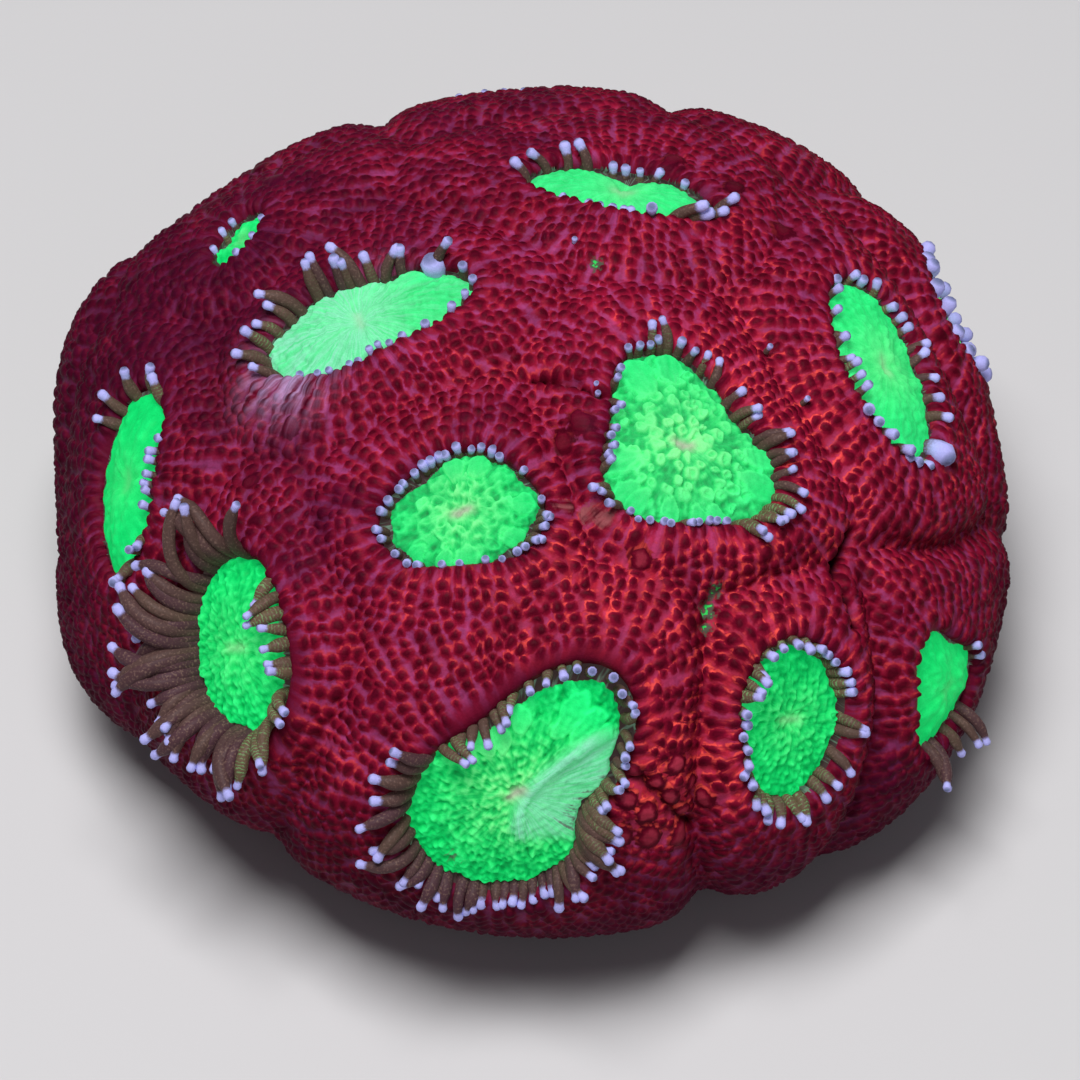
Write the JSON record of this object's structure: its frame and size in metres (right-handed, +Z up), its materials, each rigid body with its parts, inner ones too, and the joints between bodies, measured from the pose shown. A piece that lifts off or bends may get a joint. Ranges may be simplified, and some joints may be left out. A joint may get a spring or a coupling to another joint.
{
  "type": "acan coral head",
  "caption": "Domed head of fleshy acan coral with shallow oral cups over a stony skeleton, cut flat at its base to rest on a surface.",
  "frame": {"origin": "middle of the box's bottom face, on the cut base", "axes": "+Z up from the cut base through the crown of the dome, +X to the right and -Y towards the viewer when the large front polyp is nearest"},
  "size_m": [0.0662, 0.0658, 0.037],
  "materials": {
    "red_flesh": "satin",
    "green_disc": "satin",
    "tentacle": "satin",
    "bare_skeleton": "matte"
  },
  "bodies": {
    "root": {"coral_head": "red_flesh"}
  },
  "joints": []
}
